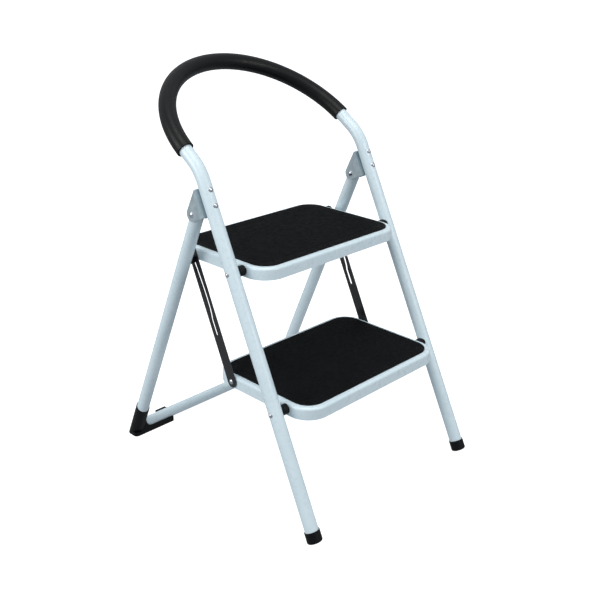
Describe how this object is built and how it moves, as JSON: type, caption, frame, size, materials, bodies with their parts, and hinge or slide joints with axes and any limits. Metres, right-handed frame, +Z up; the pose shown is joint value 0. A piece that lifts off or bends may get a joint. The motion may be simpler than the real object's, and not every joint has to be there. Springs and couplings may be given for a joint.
{
  "type": "folding step stool",
  "caption": "Folding step stool with two rubber-topped steel treads, a bent tube frame and a hoop handle with a foam grip.",
  "frame": {"origin": "on the floor, in the middle of the open stool's bounding box", "axes": "+Z up; -Y the side that is climbed from, so the user climbs towards +Y; +X at the climber's right hand"},
  "size_m": [0.4526, 0.552, 0.775],
  "materials": {
    "white_coat": "white powder coat, satin",
    "black_coat": "black powder coat, satin",
    "bracket_steel": "zinc plated, dull",
    "rivet_steel": "bright plated",
    "foam_grip": "matt black foam",
    "mat_rubber": "matt, finely ribbed",
    "black_plastic": "matt black"
  },
  "bodies": {
    "front": {"front_frame": "white_coat", "hand_grip": "foam_grip", "front_foot_left": "black_plastic", "front_foot_right": "black_plastic", "leg_bracket_left": "bracket_steel", "leg_bracket_right": "bracket_steel", "bracket_rivets": "rivet_steel", "leg_pivot_pin_left": "rivet_steel", "leg_pivot_pin_right": "rivet_steel", "top_step_pin_left": "rivet_steel", "top_step_pin_right": "rivet_steel", "lower_step_pin_left": "rivet_steel", "lower_step_pin_right": "rivet_steel", "top_step_bush_left": "black_plastic", "top_step_bush_right": "black_plastic", "lower_step_bush_left": "black_plastic", "lower_step_bush_right": "black_plastic"},
    "top_tread": {"top_step_pan": "white_coat", "top_step_mat": "mat_rubber", "top_link_rivet_left": "rivet_steel", "top_link_rivet_right": "rivet_steel"},
    "lower_tread": {"lower_step_pan": "white_coat", "lower_step_mat": "mat_rubber", "lower_link_rivet_left": "rivet_steel", "lower_link_rivet_right": "rivet_steel"},
    "link_left": {"link_bar_left": "black_coat"},
    "link_right": {"link_bar_right": "black_coat"},
    "rear_frame": {"rear_leg_left": "white_coat", "rear_leg_right": "white_coat", "rear_crossbar": "white_coat", "rear_foot_left": "black_plastic", "rear_foot_right": "black_plastic", "slot_pin_left": "rivet_steel", "slot_pin_right": "rivet_steel", "slot_bush_left": "black_plastic", "slot_bush_right": "black_plastic"}
  },
  "joints": [
    {"name": "top_tread_hinge", "type": "hinge", "parent": "front", "child": "top_tread", "pos_m": [0, -0.06184, 0.43911], "axis": [1, 0, 0], "range_deg": [0, 47.5]},
    {"name": "lower_tread_hinge", "type": "hinge", "parent": "front", "child": "lower_tread", "pos_m": [0, -0.16792, 0.21162], "axis": [1, 0, 0], "range_deg": [0, 47.5]},
    {"name": "link_left_hinge", "type": "hinge", "parent": "top_tread", "child": "link_left", "pos_m": [0, 0.07995, 0.43911], "axis": [1, 0, 0], "range_deg": [-47.5, 0]},
    {"name": "link_right_hinge", "type": "hinge", "parent": "top_tread", "child": "link_right", "pos_m": [0, 0.07995, 0.43911], "axis": [1, 0, 0], "range_deg": [-47.5, 0]},
    {"name": "rear_frame_hinge", "type": "hinge", "parent": "front", "child": "rear_frame", "pos_m": [0, 0.02718, 0.52945], "axis": [1, 0, 0], "range_deg": [-48.92, 0]}
  ],
  "couplings": [
    {"joint": "lower_tread_hinge", "follows": "top_tread_hinge", "ratio": 1},
    {"joint": "link_left_hinge", "follows": "top_tread_hinge", "ratio": -1},
    {"joint": "link_right_hinge", "follows": "top_tread_hinge", "ratio": -1},
    {"joint": "rear_frame_hinge", "follows": "top_tread_hinge", "ratio": -1.03}
  ]
}
